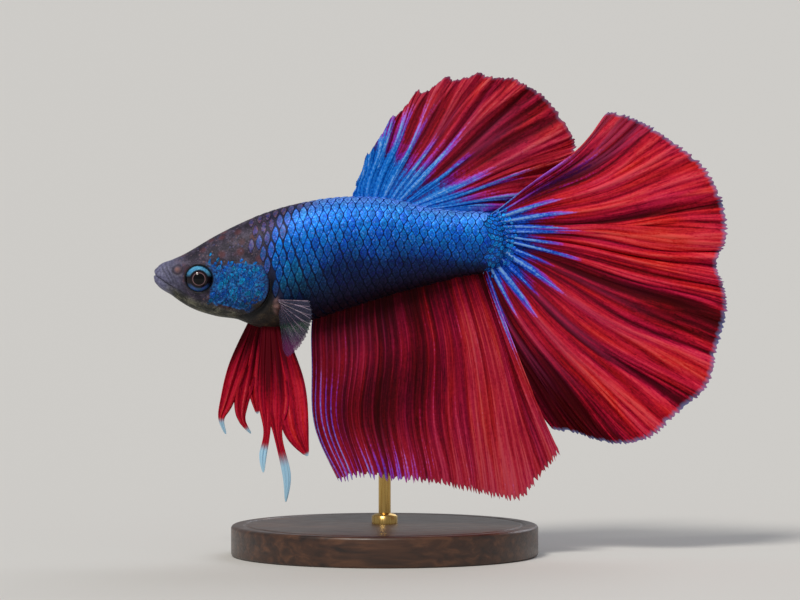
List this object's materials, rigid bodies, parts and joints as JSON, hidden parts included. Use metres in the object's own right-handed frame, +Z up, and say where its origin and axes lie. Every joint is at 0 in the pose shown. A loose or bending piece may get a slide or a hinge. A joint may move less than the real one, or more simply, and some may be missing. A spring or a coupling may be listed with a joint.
{
  "type": "betta fish museum model",
  "caption": "Life-size male betta fish with spread halfmoon fins, held level over a round base by one slim rod.",
  "frame": {"origin": "centre of the round base's underside, on the surface it stands on", "axes": "+Z up, +X from the fish's snout towards its tail, -Y the fish's left side"},
  "size_m": [0.0744, 0.04, 0.0629],
  "materials": {
    "blue_scaled_skin": "gloss",
    "dusky_head_skin": "satin",
    "pale_jaw_skin": "satin",
    "red_fin_membrane": "satin",
    "clear_fin_membrane": "satin",
    "eye": "gloss",
    "stained_wood": "satin",
    "brass": "brushed"
  },
  "bodies": {
    "root": {"head": "dusky_head_skin", "lower_jaw": "pale_jaw_skin", "gill_cover_left": "blue_scaled_skin", "gill_cover_right": "blue_scaled_skin", "eye_left": "eye", "eye_right": "eye", "trunk": "blue_scaled_skin", "tail_stalk": "blue_scaled_skin", "dorsal_fin": "red_fin_membrane", "anal_fin": "red_fin_membrane", "caudal_fin": "red_fin_membrane", "pectoral_fin_left": "clear_fin_membrane", "pectoral_fin_right": "clear_fin_membrane", "pelvic_fin_left": "red_fin_membrane", "pelvic_fin_right": "red_fin_membrane", "stand_base": "stained_wood", "stand_rod": "brass"}
  },
  "joints": []
}
